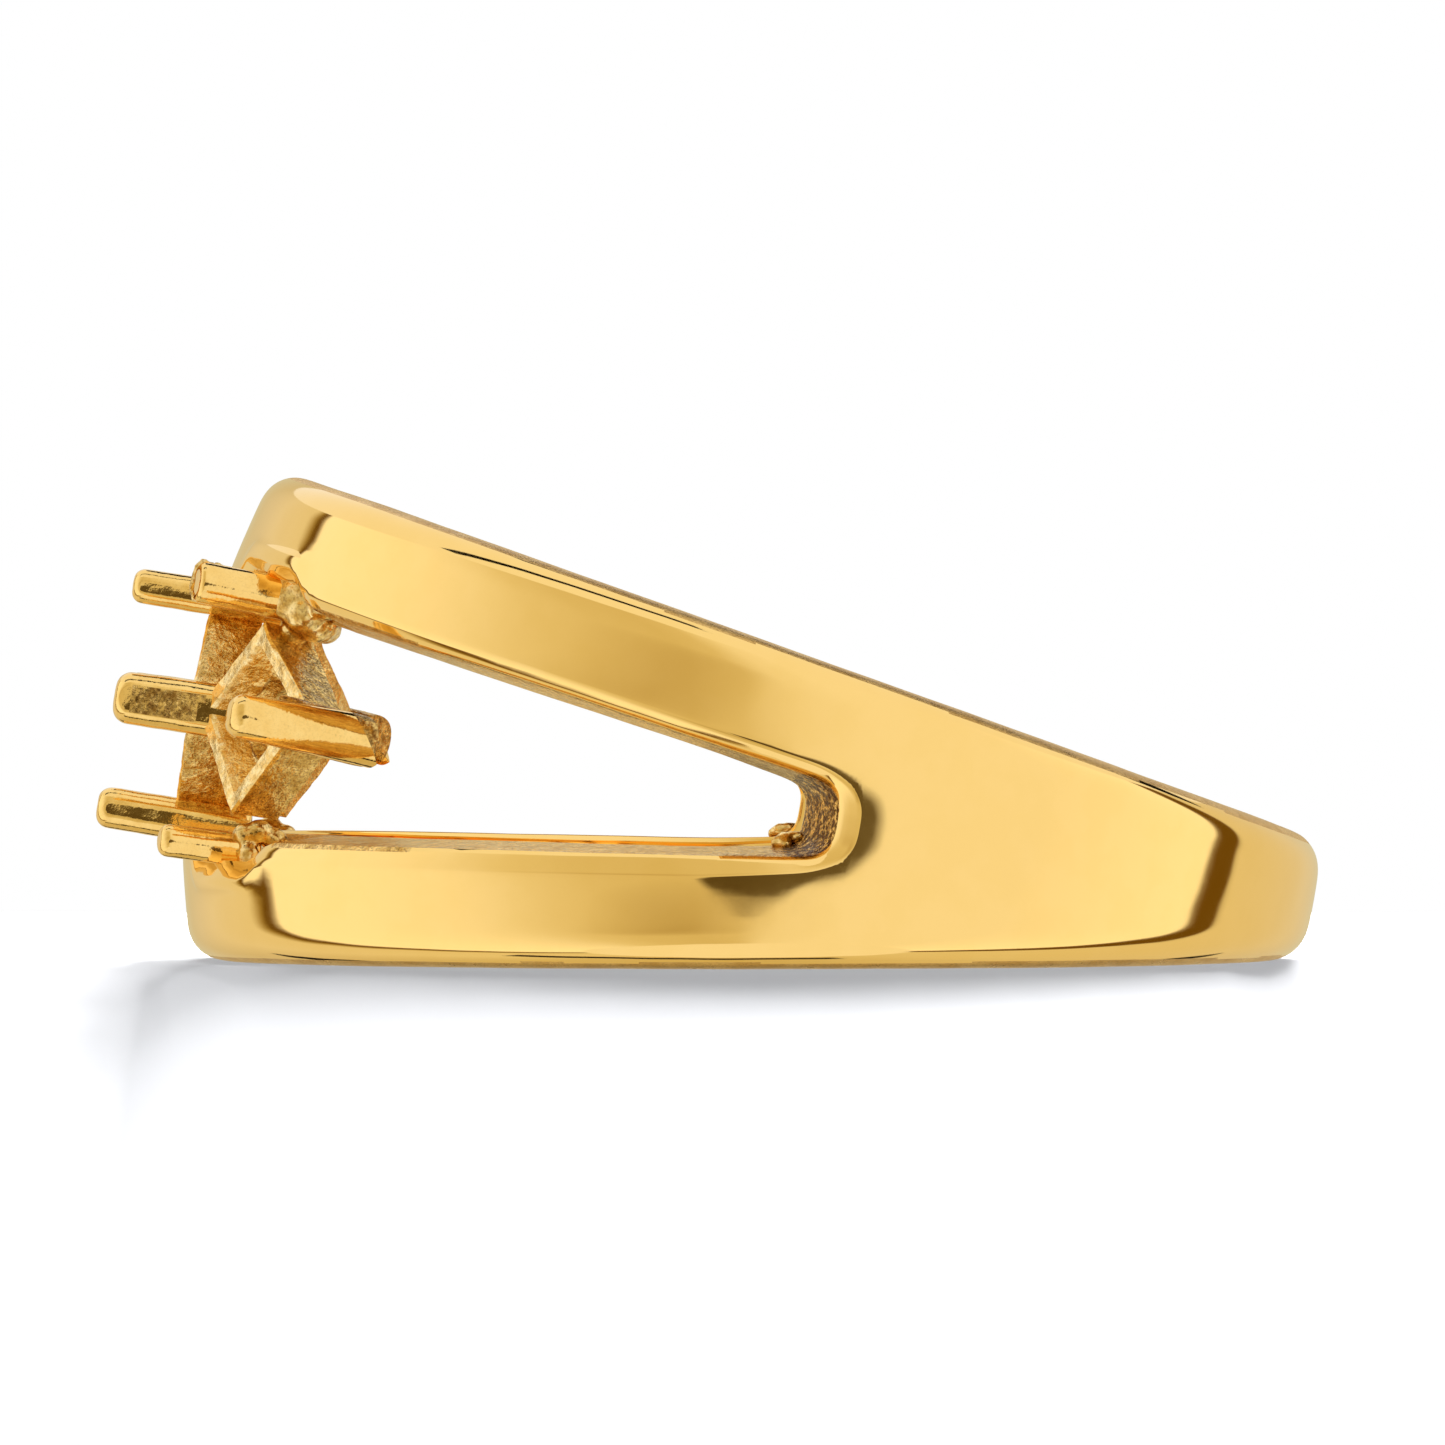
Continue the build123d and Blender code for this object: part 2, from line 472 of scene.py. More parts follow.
def turned(name, profile):
    """Turns a piece on its axis from a profile of (radius, height), bottom to top."""
    bpy.ops.mesh.primitive_plane_add(size=1, location=(0, 0, 0))
    piece = bpy.context.object
    piece.name = name
    start(piece)
    bpy.ops.mesh.select_all(action="SELECT")
    bpy.ops.mesh.merge(type="CENTER")
    at = Vector((0, 0, 0))
    for step, (radius, height) in enumerate(profile):
        to = Vector((radius, 0, height))
        if step == 0:
            move(to - at)
        else:
            bpy.ops.mesh.extrude_vertices_move(TRANSFORM_OT_translate={"value": to - at})
        at = to
    bpy.ops.mesh.select_all(action="SELECT")
    bpy.ops.mesh.spin(steps=TURN_STEPS, angle=2 * math.pi, center=(0, 0, 0), axis=(0, 0, 1))
    stop()
    tidy_mesh(piece)
    return piece


def wire_profile(foot_radius, tip_radius, length, dome):
    """A straight wire, a little thinner at its tip, whose end is rounded over."""
    profile = [(0, 0), (foot_radius * 0.55, 0), (foot_radius * 0.96, 0.015),
               (foot_radius, FOOT_ROUND)]
    for row in range(1, WIRE_ROWS):
        share = row / WIRE_ROWS
        profile.append((foot_radius + (tip_radius - foot_radius) * share,
                        FOOT_ROUND + (length - dome - FOOT_ROUND) * share))
    for turn in (0, 15, 30, 45, 60, 75):
        angle = math.radians(turn)
        profile.append((tip_radius - dome + dome * math.cos(angle),
                        length - dome + dome * math.sin(angle)))
    profile += [((tip_radius - dome) * 0.8 + 0.02, length), (0, length + 0.004)]
    return profile


def stand(piece, foot, tip):
    """Moves a turned piece from the lathe to stand on its foot and point at its tip."""
    way = Vector(tip) - Vector(foot)
    piece.rotation_mode = "QUATERNION"
    piece.rotation_quaternion = way.to_track_quat("Z", "Y")
    piece.location = foot
    apply_place(piece)
    piece.rotation_mode = "XYZ"


def wire(name, foot, tip, foot_dia, tip_dia, dome, flat=1.0, skin=None):
    """A prong with a domed tip. A flat under 1 is filed on the side that faces out; between
    two places along it, where skin is given, the flat keeps the skin of the casting."""
    length = (Vector(tip) - Vector(foot)).length
    piece = turned(name, wire_profile(foot_dia / 2, tip_dia / 2, length, dome))
    stand(piece, foot, tip)
    finish_modifier(piece, "SUBSURF", levels=1, render_levels=1)
    if flat < 1:
        start(piece)
        plane = foot[1] - flat * tip_dia / 2
        pick(lambda c: c.y < plane)
        bpy.ops.transform.resize(value=(1, FLAT_LEFT, 1), center_override=(0, plane, 0))
        stop()
        if skin:
            for face in piece.data.polygons:
                if skin[0] < face.center.x < skin[1] and face.center.y < plane + FLAT_NEAR:
                    face.material_index = 1
    roughen(piece, *WIRE_LUMPS)
    return piece


# Seats

SEAT_SIDE = 2.49
SEAT_DEPTH = 1.0
SEAT_RIM = 0.28
CORNER_REACH = SEAT_SIDE / math.sqrt(2)
LOOP_CORNERS = 32
# The numbers of a seat's finishes, and how deep under the rim they reach
RIM_FINISH, WALL_FINISH, FUNNEL_FINISH = 0, 1, 2
RIM_DEPTH = 0.10
FUNNEL_DEPTH = 0.51


def loop(reach, height, round_hole):
    """Adds a closed line of corners, a circle or a square on its point, selected."""
    if round_hole:
        bpy.ops.mesh.primitive_circle_add(
            vertices=LOOP_CORNERS, radius=reach, location=(0, 0, height))
    else:
        bpy.ops.mesh.primitive_circle_add(vertices=4, radius=reach, location=(0, 0, height))
        bpy.ops.mesh.subdivide(number_cuts=LOOP_CORNERS // 4 - 1)


def make_seat(name):
    """An open square seat on its point, facing +Z: rim, funnel, drilled hole, base."""
    bpy.ops.mesh.primitive_plane_add(size=1, location=(0, 0, 0))
    seat = bpy.context.object
    seat.name = name
    start(seat, "EDGE")
    bpy.ops.mesh.select_all(action="SELECT")
    bpy.ops.mesh.delete(type="VERT")
    inner = CORNER_REACH - SEAT_RIM * math.sqrt(2)
    # From the hole's lower edge up through the funnel, over the rim and down the outside:
    # reach from the axis, height, and whether the line is round.
    loops = (
        (0.65, -SEAT_DEPTH, True), (0.66, -0.80, True), (0.80, -0.60, True),
        (1.06, -0.50, False), (inner - 0.10, -0.18, False), (inner - 0.01, -0.05, False),
        (inner + 0.03, -0.006, False), (CORNER_REACH - 0.05, 0, False),
        (CORNER_REACH, -0.05, False), (CORNER_REACH - 0.01, -0.5, False),
        (CORNER_REACH - 0.03, -SEAT_DEPTH, False),
    )
    for number, (reach, height, round_hole) in enumerate(loops):
        bpy.ops.mesh.select_all(action="DESELECT")
        loop(reach, height, round_hole)
        if number:
            first, last = LOOP_CORNERS * (number - 1), LOOP_CORNERS * (number + 1)
            pick_parts("edges", lambda edge: all(
                first <= corner.index < last for corner in edge.verts))
            bpy.ops.mesh.bridge_edge_loops()
    # The base joins the last line to the first.
    pick(lambda c: c.z < -SEAT_DEPTH + 0.001, "edges")
    bpy.ops.mesh.bridge_edge_loops()
    bpy.ops.mesh.select_all(action="SELECT")
    bpy.ops.mesh.normals_make_consistent(inside=False)
    stop()
    finish_modifier(seat, "SUBSURF", subdivision_type="SIMPLE", levels=2, render_levels=2)
    return seat


def copy_of(piece, name, mirrored=False):
    """A copy with its own mesh, mirrored to the other end of the row of seats if asked."""
    hold(piece)
    bpy.ops.object.duplicate(linked=False)
    other = bpy.context.object
    other.name = name
    if mirrored:
        other.scale = (1, -1, 1)
        apply_place(other)
        start(other)
        bpy.ops.mesh.select_all(action="SELECT")
        bpy.ops.mesh.normals_make_consistent(inside=False)
        stop()
    return other


def place_seat(seat, centre, facing):
    """Corner up along the finger axis, opening the way it faces."""
    out = Vector(facing).normalized()
    up = Vector((0, 0, 1))
    turn = Matrix((up, out.cross(up), out)).transposed().to_4x4()
    seat.matrix_world = Matrix.Translation(Vector(centre)) @ turn
    apply_place(seat)


def seat_finishes(seat, centre, facing):
    """The rim is polished, the funnel cleaned; the walls and the hole are rougher."""
    out = Vector(facing).normalized()
    for face in seat.data.polygons:
        way = Vector(face.center) - Vector(centre)
        depth = way.dot(out)
        if depth > -RIM_DEPTH:
            face.material_index = RIM_FINISH
        elif depth > -FUNNEL_DEPTH and face.normal.dot(way - out * depth) < 0:
            face.material_index = FUNNEL_FINISH
        else:
            face.material_index = WALL_FINISH


SOLDER_GRAIN = 0.05


def lumps_of_solder(name, drops):
    """Solder that has run together from drops given as (x, y, z, radius)."""
    parts = []
    for x, y, z, radius in drops:
        bpy.ops.mesh.primitive_uv_sphere_add(
            segments=20, ring_count=12, radius=radius, location=(x, y, z))
        parts.append(bpy.context.object)
    bpy.ops.object.select_all(action="DESELECT")
    for part in parts:
        part.select_set(True)
    bpy.context.view_layer.objects.active = parts[0]
    bpy.ops.object.join()
    solder = bpy.context.object
    solder.name = name
    apply_place(solder)
    finish_modifier(solder, "REMESH", mode="VOXEL", voxel_size=SOLDER_GRAIN)
    finish_modifier(solder, "SMOOTH", factor=0.5, iterations=6)
    roughen(solder, *SOLDER_LUMPS)
    return solder


# Metals

def node_kit(material):
    """Short ways to add and join the nodes of a material."""
    material.use_nodes = True
    tree = material.node_tree
    tree.nodes.clear()

    def add(kind, **values):
        node = tree.nodes.new(kind)
        for name, value in values.items():
            if hasattr(node, name):
                setattr(node, name, value)
            else:
                node.inputs[name].default_value = value
        return node

    def join(out, into):
        tree.links.new(out, into)

    return add, join


def noise(add, join, where, size, detail=3.0):
    """A cloudy pattern whose lumps are this many millimetres across."""
    pattern = add("ShaderNodeTexNoise", Scale=1 / (size * MM), Detail=detail, Roughness=0.55)
    join(where, pattern.inputs["Vector"])
    return pattern.outputs["Fac"]


def spread(add, join, value, low, high, start=0.3, end=0.7):
    """Stretches a pattern to run from low to high."""
    ranged = add("ShaderNodeMapRange")
    for name, number in (("From Min", start), ("From Max", end), ("To Min", low), ("To Max", high)):
        ranged.inputs[name].default_value = number
    join(value, ranged.inputs["Value"])
    return ranged.outputs["Result"]


def mixed(add, join, share, first, second, blend="MIX"):
    """Mixes two colours by a share, each given as numbers or taken from a node."""
    mix = add("ShaderNodeMix", data_type="RGBA", blend_type=blend)
    # The node's inputs for colours are its seventh and eighth, and its third output is one.
    for source, socket in ((share, 0), (first, 6), (second, 7)):
        if isinstance(source, bpy.types.NodeSocket):
            join(source, mix.inputs[socket])
        else:
            mix.inputs[socket].default_value = source
    return mix.outputs[2]


# The size of worn places in millimetres, and the tone of specks as shares of the dark one.
WORN_PLACE = 0.35
SPECK_TONE = (0.3, 0.22, 0.15)


def metal(name, light, dark, rough, bumps, patch=0.9, edges=(0.42, 0.58), grain=None):
    """Gold with a colour that wanders from light to dark in patches, a roughness that
    wanders too, and bumps given as (size, height) in millimetres. A grain, given as (size,
    strength), adds fine dark specks."""
    material = bpy.data.materials.new(name)
    add, join = node_kit(material)
    place = add("ShaderNodeTexCoord").outputs["Object"]
    shader = add("ShaderNodeBsdfPrincipled", Metallic=1.0)
    patches = spread(add, join, noise(add, join, place, patch), 1, 0, *edges)
    colour = mixed(add, join, patches, (*light, 1), (*dark, 1))
    if grain:
        size, strength = grain
        specks = spread(add, join, noise(add, join, place, size, 2.0), 0, strength, 0.50, 0.62)
        tone = [part * share for part, share in zip(dark, SPECK_TONE)]
        colour = mixed(add, join, specks, colour, (*tone, 1))
    join(colour, shader.inputs["Base Color"])
    worn = spread(add, join, noise(add, join, place, WORN_PLACE), *rough)
    join(worn, shader.inputs["Roughness"])
    normal = None
    for size, height in bumps:
        bump = add("ShaderNodeBump", Strength=1.0, Distance=height * MM)
        join(noise(add, join, place, size), bump.inputs["Height"])
        if normal:
            join(normal, bump.inputs["Normal"])
        normal = bump.outputs["Normal"]
    join(normal, shader.inputs["Normal"])
    out = add("ShaderNodeOutputMaterial")
    join(shader.outputs["BSDF"], out.inputs["Surface"])
    return material


polished = metal(
    "polished_gold", (0.975, 0.66, 0.222), (0.965, 0.65, 0.212), (0.04, 0.075),
    [(0.06, 0.00004)])
matte = metal(
    "fine_matte_gold", (0.84, 0.53, 0.17), (0.72, 0.42, 0.11), (0.26, 0.38),
    [(0.045, 0.008)], 0.5, (0.4, 0.6), (0.04, 0.3))
seat_cast = metal(
    "seat_cast_gold", (0.98, 0.68, 0.25), (0.60, 0.35, 0.08), (0.09, 0.22),
    [(0.20, 0.04), (0.08, 0.018), (0.03, 0.004)], 0.20, (0.35, 0.65), (0.045, 0.50))
skin_gold = metal(
    "casting_skin_gold", (0.90, 0.60, 0.19), (0.30, 0.155, 0.035), (0.14, 0.28),
    [(0.20, 0.04), (0.07, 0.014)], 0.16, (0.36, 0.64), (0.06, 0.45))
cast = metal(
    "as_cast_gold", (0.95, 0.60, 0.17), (0.14, 0.058, 0.009), (0.20, 0.38),
    [(0.20, 0.05), (0.07, 0.028), (0.03, 0.010)], 0.10, (0.46, 0.62), (0.045, 0.80))
funnel_gold = metal(
    "funnel_gold", (0.99, 0.70, 0.27), (0.74, 0.44, 0.11), (0.08, 0.20),
    [(0.16, 0.035), (0.06, 0.010)], 0.35, (0.35, 0.65), (0.06, 0.30))
wire_gold = metal(
    "wire_gold", (0.975, 0.66, 0.222), (0.93, 0.60, 0.18), (0.05, 0.10),
    [(0.16, 0.004), (0.05, 0.0008)], 0.30, (0.35, 0.65), (0.05, 0.08))
rim_gold = metal(
    "rim_gold", (1.0, 0.78, 0.38), (0.86, 0.55, 0.17), (0.14, 0.24),
    [(0.12, 0.008), (0.04, 0.002)], 0.14, (0.40, 0.66), (0.05, 0.25))
bright_solder = metal(
    "bright_solder", (1.0, 0.75, 0.33), (0.64, 0.37, 0.085), (0.10, 0.20),
    [(0.14, 0.012), (0.05, 0.003)], 0.20, (0.38, 0.66), (0.07, 0.35))


# Studio. Its sizes are metres, but for the paper's.

def plain(name, colour, roughness):
    """A matt surface of one colour, for what stands round the ring."""
    material = bpy.data.materials.new(name)
    add, join = node_kit(material)
    shader = add("ShaderNodeBsdfPrincipled", Roughness=roughness)
    shader.inputs["Base Color"].default_value = (*colour, 1)
    shader.inputs["Specular IOR Level"].default_value = 0.1
    out = add("ShaderNodeOutputMaterial")
    join(shader.outputs["BSDF"], out.inputs["Surface"])
    return material


# Brightness of the tent's wall by angle from the camera, left to right. The two narrow
# dark steps are the gaps between the front panels and the backdrop.
TENT = (
    (-180, 0.66), (-160, 0.70), (-140, 0.84), (-122, 0.84), (-118.5, 0.40), (-117, 0.16),
    (-114.2, 0.16), (-113.2, 1.18), (-90, 1.14), (-72, 1.06), (-60, 0.97), (-46, 0.84),
    (-32, 0.76), (-14, 0.73), (-3, 0.77), (8, 0.94), (22, 1.0), (62, 1.01), (80, 1.08),
    (95, 1.14), (106, 1.18), (107, 0.16), (114.5, 0.16), (115.5, 0.82), (150, 0.79),
    (180, 0.66),
)
TENT_PEAK = 1.2
TENT_RADIUS = 0.7
TENT_HEIGHT = 2.3
TENT_MIDDLE = -0.45
TENT_LEAN = 24

# Dark shapes on the front of the tent's wall, which the rails mirror: middle (X, Z), half
# width and height, turn in degrees, softness of the edge, and what is left of the light
# in them.
SHADES = (
    (0.091, -0.079, 0.239, 0.143, 7.4, 0.06, (0.145, 0.115, 0.062)),
    (-0.26, 0.21, 0.20, 0.08, 20, 0.9, (0.84, 0.80, 0.72)),
    (-0.23, -0.275, 0.15, 0.09, 0, 0.8, (0.76, 0.71, 0.60)),
)


def warmed(level):
    """Dimmer parts of the tent are lit by light that the gold has warmed."""
    if level >= 1:
        return level, level, level
    return level, level ** 1.34, level ** 2.6


def round_the_tent(add, join, place):
    """The tent's brightness by angle."""
    turn = add("ShaderNodeVectorRotate", rotation_type="X_AXIS", Angle=math.radians(TENT_LEAN))
    join(place, turn.inputs["Vector"])
    quarter = add("ShaderNodeVectorRotate", rotation_type="Z_AXIS", Angle=math.pi / 2)
    join(turn.outputs["Vector"], quarter.inputs["Vector"])
    around = add("ShaderNodeTexGradient", gradient_type="RADIAL")
    join(quarter.outputs["Vector"], around.inputs["Vector"])
    ramp = add("ShaderNodeValToRGB")
    stops = ramp.color_ramp.elements
    while len(stops) > 1:
        stops.remove(stops[-1])
    for number, (angle, level) in enumerate(TENT):
        at = angle / 360 + 0.5
        one = stops.new(at) if number else stops[0]
        one.position = at
        one.color = [part / TENT_PEAK for part in warmed(level)] + [1]
    join(around.outputs["Color"], ramp.inputs["Fac"])
    return ramp.outputs["Color"]


def with_shades(add, join, place, light):
    """The same light with the dark shapes in it, on the camera's side alone."""
    apart = add("ShaderNodeSeparateXYZ")
    join(place, apart.inputs["Vector"])
    behind = add("ShaderNodeMath", operation="GREATER_THAN")
    join(apart.outputs["Y"], behind.inputs[0])
    behind.inputs[1].default_value = 0
    for x, z, wide, high, turn_up, soft, left in SHADES:
        shape = add("ShaderNodeMapping", vector_type="TEXTURE")
        shape.inputs["Location"].default_value = (x, 0, z)
        shape.inputs["Rotation"].default_value = (0, math.radians(-turn_up), 0)
        shape.inputs["Scale"].default_value = (wide, 0, high)
        join(place, shape.inputs["Vector"])
        from_middle = add("ShaderNodeVectorMath", operation="LENGTH")
        join(shape.outputs["Vector"], from_middle.inputs[0])
        outside = spread(add, join, from_middle.outputs["Value"], 0, 1, 1 - soft, 1 + soft)
        open_wall = add("ShaderNodeMath", operation="MAXIMUM")
        join(outside, open_wall.inputs[0])
        join(behind.outputs["Value"], open_wall.inputs[1])
        shade = mixed(add, join, open_wall.outputs["Value"], (*left, 1), (1, 1, 1, 1))
        light = mixed(add, join, 1, light, shade, "MULTIPLY")
    return light


def light_tent():
    """The white wall round the ring, leaning back from the camera."""
    material = bpy.data.materials.new("tent_light")
    add, join = node_kit(material)
    place = add("ShaderNodeTexCoord").outputs["Object"]
    light = with_shades(add, join, place, round_the_tent(add, join, place))
    glow = add("ShaderNodeEmission", Strength=TENT_PEAK)
    join(light, glow.inputs["Color"])
    out = add("ShaderNodeOutputMaterial")
    join(glow.outputs["Emission"], out.inputs["Surface"])
    bpy.ops.mesh.primitive_cylinder_add(
        vertices=96, radius=TENT_RADIUS, depth=TENT_HEIGHT, end_fill_type="NOTHING",
        location=(0, 0, TENT_MIDDLE))
    tent = bpy.context.object
    tent.name = "light_tent"
    apply_place(tent)
    tent.rotation_euler = (math.radians(-TENT_LEAN), 0, 0)
    apply_place(tent)
    tent.data.materials.append(material)
    tent.visible_camera = False
    tent.visible_shadow = False
    tent.visible_diffuse = False


def dark_cards():
    """Dark cards behind, over and under the ring, outside what the camera sees. They draw
    the dark lines along the edges of the polished metal."""
    brown = plain("card_brown", (0.05, 0.035, 0.018), 0.8)
    for name, place, size, flat in (
        ("card_behind", (0.25, 0.52, 0.55), (0.5, 0.40), False),
        ("card_low", (0, 0.52, -0.55), (0.9, 0.40), False),
        ("card_over", (-0.15, 0.045, 0.60), (0.50, 0.065), True),
        ("card_under", (-0.10, 0.045, -0.60), (0.40, 0.065), True),
    ):
        bpy.ops.mesh.primitive_plane_add(
            size=1, location=place, rotation=(0 if flat else math.pi / 2, 0, 0))
        card = bpy.context.object
        card.name = name
        card.scale = (*size, 1)
        apply_place(card)
        card.data.materials.append(brown)
        card.visible_camera = False
        card.visible_diffuse = False
        card.visible_shadow = False


# The paper lies level under the ring and sags a little in front of it. Each row of its
# corners is given by how far it lies in front of the ring's outline and how low it lies,
# in millimetres, or by its share of the way from the outline to the back.
PAPER_FRONT = (
    (140, 30), (60, 12.6), (30, 6.1), (16, 3.1), (10, 1.85), (6.5, 1.12), (4.2, 0.66),
    (2.6, 0.34), (1.4, 0.13), (0.6, 0.03), (0, 0),
)
PAPER_BACK = (0.1, 0.25, 0.5, 1.0)
PAPER_LEFT = (
    -300, -80, -40, -24, -17, -13.5, -11.6, -10.6, -10.1, -9.3, -8.2, -6.8, -5.2, -3.5, -1.8,
)
PAPER_END = 60
OUTLINE = 10.2


def paper_sweep():
    """The white paper that the ring lies on."""
    columns = PAPER_LEFT + (0,) + tuple(-x for x in reversed(PAPER_LEFT))
    rows = len(PAPER_FRONT) + len(PAPER_BACK)
    bpy.ops.mesh.primitive_grid_add(
        x_subdivisions=len(columns) - 1, y_subdivisions=rows - 1, size=2, location=(0, 0, 0))
    paper = bpy.context.object
    paper.name = "paper_sweep"
    start(paper)
    ways = {}
    for corner in bmesh.from_edit_mesh(paper.data).verts:
        x = columns[round((corner.co.x + 1) / 2 * (len(columns) - 1))]
        row = round((corner.co.y + 1) / 2 * (rows - 1))
        outline = -math.sqrt(max(0.0, OUTLINE**2 - x * x))
        if row < len(PAPER_FRONT):
            ahead, low = PAPER_FRONT[row]
            y, z = outline - ahead, -low
        else:
            y, z = outline + (PAPER_END - outline) * PAPER_BACK[row - len(PAPER_FRONT)], 0
        ways[corner.index] = Vector((x, y, z)) * MM - corner.co
    move_each(paper, ways)
    stop()
    bpy.ops.object.shade_smooth()
    paper.data.materials.append(plain("white_paper", (0.86, 0.87, 0.90), 0.9))
    paper.visible_glossy = False


def studio():
    """A white room, the tent and cards that the gold mirrors, the paper and two lights."""
    world = bpy.data.worlds.new("studio")
    bpy.context.scene.world = world
    world.use_nodes = True
    world.node_tree.nodes["Background"].inputs["Color"].default_value = (1, 1, 1, 1)
    world.node_tree.nodes["Background"].inputs["Strength"].default_value = 1.0
    world.cycles_visibility.diffuse = False
    bpy.context.scene.view_settings.view_transform = "Standard"
    light_tent()
    dark_cards()
    paper_sweep()
    for name, place, size, power in (
        ("softbox_back", (0.065, 0.28, 0.30), 0.34, 5.4),
        ("softbox_over", (0.08, 0.03, 0.50), 0.80, 1.75),
    ):
        bpy.ops.object.light_add(type="AREA", location=place)
        box = bpy.context.object
        box.name = name
        box.rotation_euler = Vector(place).to_track_quat("Z", "Y").to_euler()
        box.data.shape = "SQUARE"
        box.data.size = size
        box.data.energy = power
        box.visible_glossy = False


# The camera, in millimetres: where it stands, the height it looks at over the ring's
# middle, and how wide a piece of the world it shows there.
CAMERA_DISTANCE = 280
CAMERA_HEIGHT = 4.9
CAMERA_ASIDE = 0.28
LOOK_HEIGHT = 4.35
VIEW_WIDTH = 26.465
SENSOR_WIDTH = 36


def set_camera():
    """At the photograph's height and distance: nearly level, from the ring's side."""
    data = bpy.data.cameras.new("camera")
    camera = bpy.data.objects.new("camera", data)
    bpy.context.scene.collection.objects.link(camera)
    bpy.context.scene.camera = camera
    camera.location = (CAMERA_ASIDE * MM, -CAMERA_DISTANCE * MM, CAMERA_HEIGHT * MM)
    down = math.atan((CAMERA_HEIGHT - LOOK_HEIGHT) / CAMERA_DISTANCE)
    camera.rotation_euler = (math.pi / 2 - down, 0, 0)
    data.sensor_width = SENSOR_WIDTH
    data.lens = SENSOR_WIDTH * CAMERA_DISTANCE / VIEW_WIDTH
    data.clip_start = 0.01
    data.clip_end = 10


# The ring

SMOOTH_UP_TO = 40


def dress(piece, *metals):
    """Lays a finished piece down, gives it its metals and says what it is part of."""
    lay_down(piece)
    for one in metals:
        piece.data.materials.append(one)
    hold(piece)
    bpy.ops.object.shade_smooth_by_angle(angle=math.radians(SMOOTH_UP_TO))
    piece.visible_diffuse = False
    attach(piece, "root")


def dress_both(near, *metals):
    """Dresses a piece of the near side, and before it a mirrored copy for the far side."""
    dress(copy_of(near, near.name.replace("near", "far"), mirrored=True), *metals)
    dress(near, *metals)


band = make_band()
give_thickness(band)
bend_band(band)
finish_zones(band)
dress(band, polished, cast, matte, seat_cast)
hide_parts("semi_mount_ring")

# The seats: one is modelled, the others are copies of it. The outer corner of a side seat
# was pushed up and in when it was soldered.
seat_middle = make_seat("seat_middle")
seat_near = copy_of(seat_middle, "seat_near")
for seat, centre, facing in (
    (seat_near, (-9.32, -3.29, 0.0), (-0.842, -0.539, 0.0)),
    (seat_middle, (-10.435, 0.0, 0.0), (-1.0, 0.0, 0.0)),
):
    place_seat(seat, centre, facing)
    seat_finishes(seat, centre, facing)
start(seat_near)
pick(lambda c: c.y < -4.5 and c.x < -7.9)
draw_out((0.12, 0, 0.30), "LINEAR", 1.7)
stop()
roughen(seat_near, *SEAT_LUMPS)
clear_finger_hole(seat_near)
dress_both(seat_near, rim_gold, seat_cast, funnel_gold)
roughen(seat_middle, *SEAT_LUMPS)
dress(seat_middle, rim_gold, seat_cast, funnel_gold)

# The prongs: foot, tip, diameter at both, dome, and how they are filed.
prong_top = wire("prong_top", (-9.0, 0, 2.06), (-11.88, 0, 2.02), 0.66, 0.64, 0.20, 0.92)
dress(prong_top, wire_gold)
prong_bottom = wire("prong_bottom", (-9.0, 0, -2.05), (-11.84, 0, -2.08), 0.78, 0.76, 0.24, 0.92)
dress(prong_bottom, wire_gold)
for name, foot, tip, foot_dia, tip_dia, dome, flat, skin in (
    ("prong_shared_near", (-9.2, -1.76, 0.03), (-11.80, -1.78, -0.03),
     1.00, 0.96, 0.28, 0.86, (-11.47, -10.2)),
    ("prong_upper_near", (-8.3, -3.16, 2.22), (-10.62, -3.78, 2.27),
     0.80, 0.76, 0.10, 1.0, None),
    ("prong_lower_near", (-8.7, -3.22, -2.36), (-10.50, -3.70, -2.44),
     0.62, 0.60, 0.18, 1.0, None),
):
    dress_both(wire(name, foot, tip, foot_dia, tip_dia, dome, flat, skin), wire_gold, skin_gold)

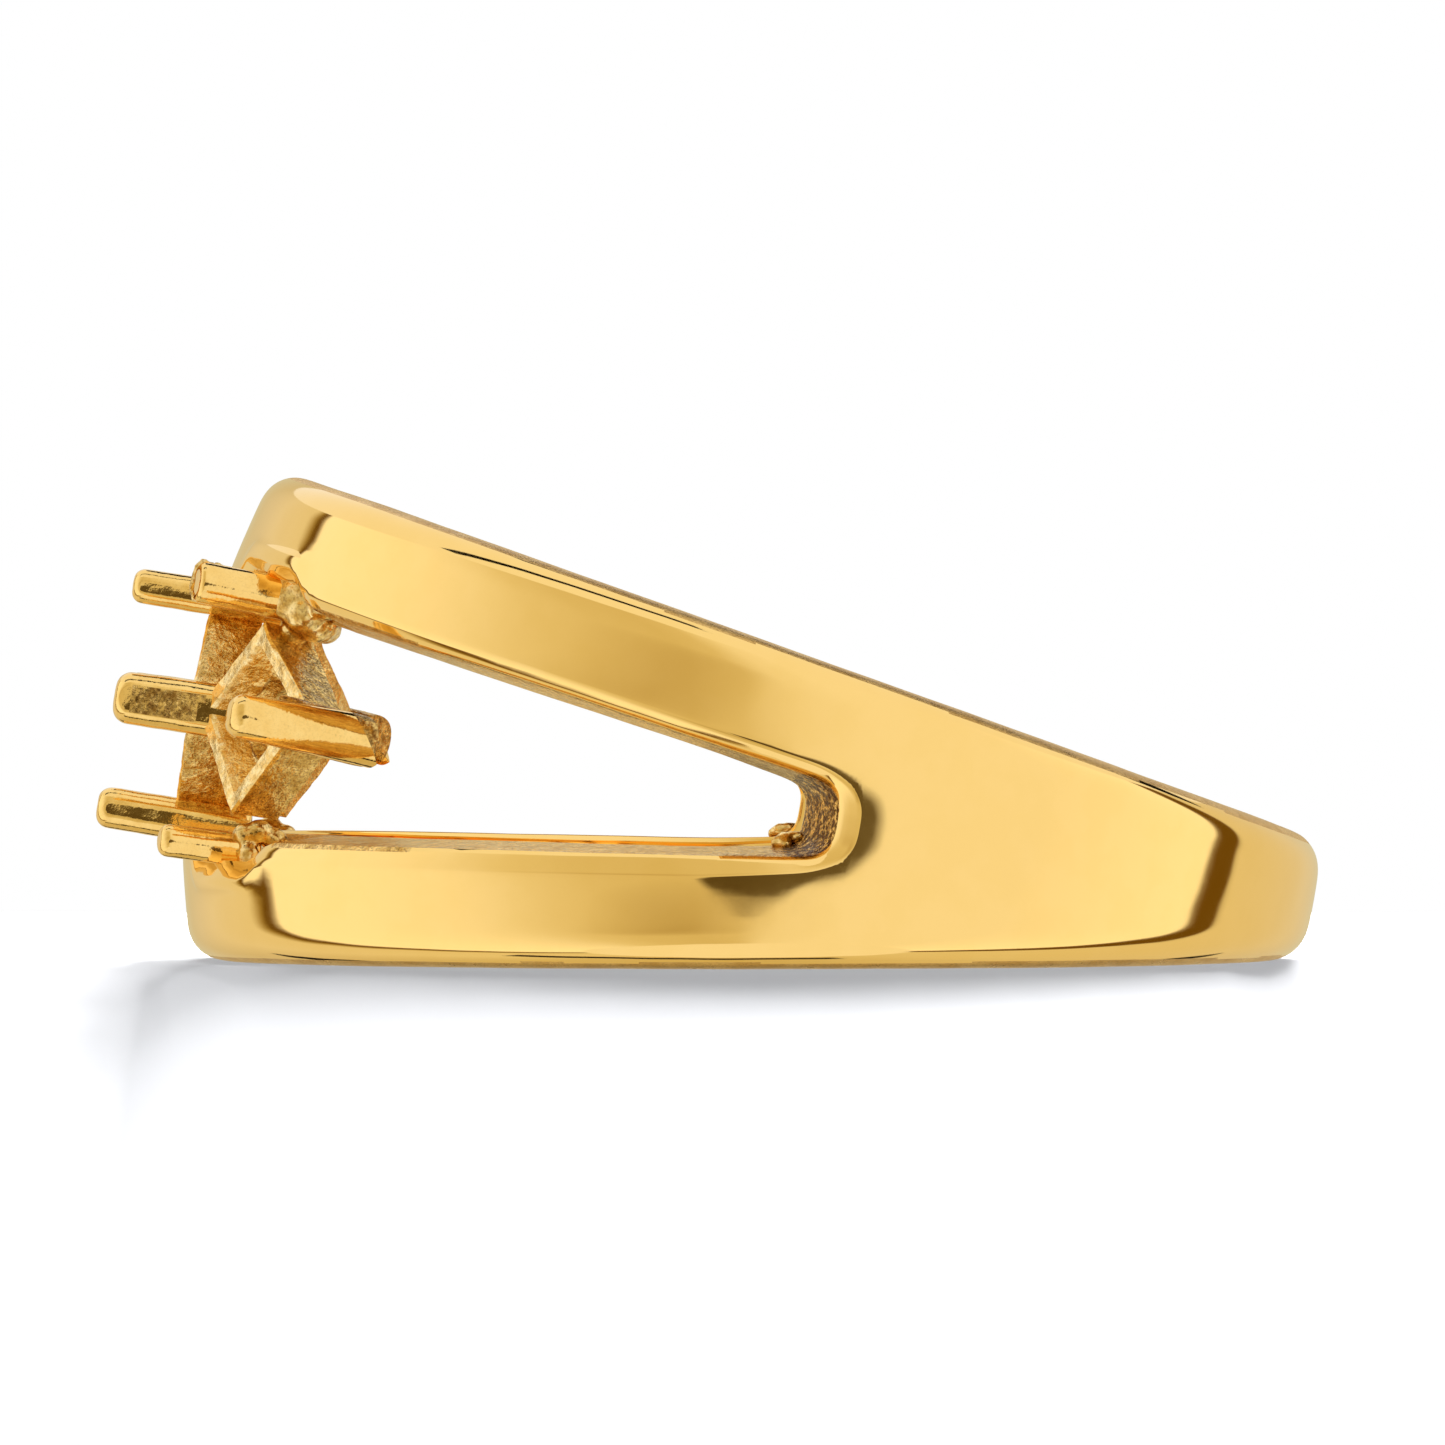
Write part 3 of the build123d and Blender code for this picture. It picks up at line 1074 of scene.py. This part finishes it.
# The end prong's foot is filed off at an angle beside its post.
end = wire("prong_end_near", (-6.4, -4.98, -0.05), (-9.58, -5.98, 0.03), 0.98, 0.80, 0.26)
start(end)
bpy.ops.mesh.select_all(action="SELECT")
bpy.ops.mesh.bisect(
    plane_co=(-6.98, -5.6, -0.10), plane_no=(0.80, 0.22, 0.56), use_fill=True, clear_outer=True)
stop()
post = wire("corner_post_near", (-8.8, -4.86, 0.06), (-6.80, -4.98, -0.08), 0.96, 0.92, 0.22)
for piece, gold in ((end, wire_gold), (post, skin_gold)):
    clear_finger_hole(piece)
    dress_both(piece, gold)

# The solder, the burr on the upper side prong's tip, and the lump in the split's corner.
for name, drops in (
    ("solder_upper_near", (
        (-8.90, -3.45, 2.22, 0.40), (-8.60, -3.55, 2.06, 0.40), (-8.38, -3.40, 1.84, 0.32),
        (-8.75, -3.15, 1.68, 0.30), (-8.25, -3.90, 2.25, 0.30), (-9.00, -3.50, 2.50, 0.20),
        (-8.72, -3.72, 2.48, 0.22), (-8.5, -3.1, 1.95, 0.42))),
    ("burr_near", (
        (-10.58, -3.76, 2.63, 0.08), (-10.64, -3.82, 2.54, 0.08), (-10.67, -3.90, 2.42, 0.07),
        (-10.68, -3.94, 2.30, 0.07), (-10.68, -3.94, 2.18, 0.07), (-10.66, -3.90, 2.06, 0.07),
        (-10.62, -3.84, 1.96, 0.07), (-10.50, -3.74, 2.65, 0.06), (-10.38, -3.72, 2.64, 0.05))),
    ("solder_lower_near", (
        (-9.00, -3.50, -2.10, 0.22), (-8.75, -3.45, -2.00, 0.24), (-8.45, -3.35, -2.10, 0.24),
        (-8.85, -3.65, -2.45, 0.22), (-8.80, -3.85, -2.70, 0.16), (-8.62, -3.95, -2.88, 0.14),
        (-8.45, -3.95, -2.62, 0.12), (-8.3, -3.2, -2.25, 0.26))),
    ("casting_lump_near", (
        (0.60, -8.87, -0.47, 0.14), (0.74, -8.86, -0.41, 0.13), (0.46, -8.90, -0.56, 0.10),
        (0.86, -8.90, -0.36, 0.10), (0.66, -9.00, -0.54, 0.12))),
):
    solder = lumps_of_solder(name, drops)
    if name.startswith("solder"):
        clear_finger_hole(solder)
    dress_both(solder, bright_solder)

studio()
set_camera()
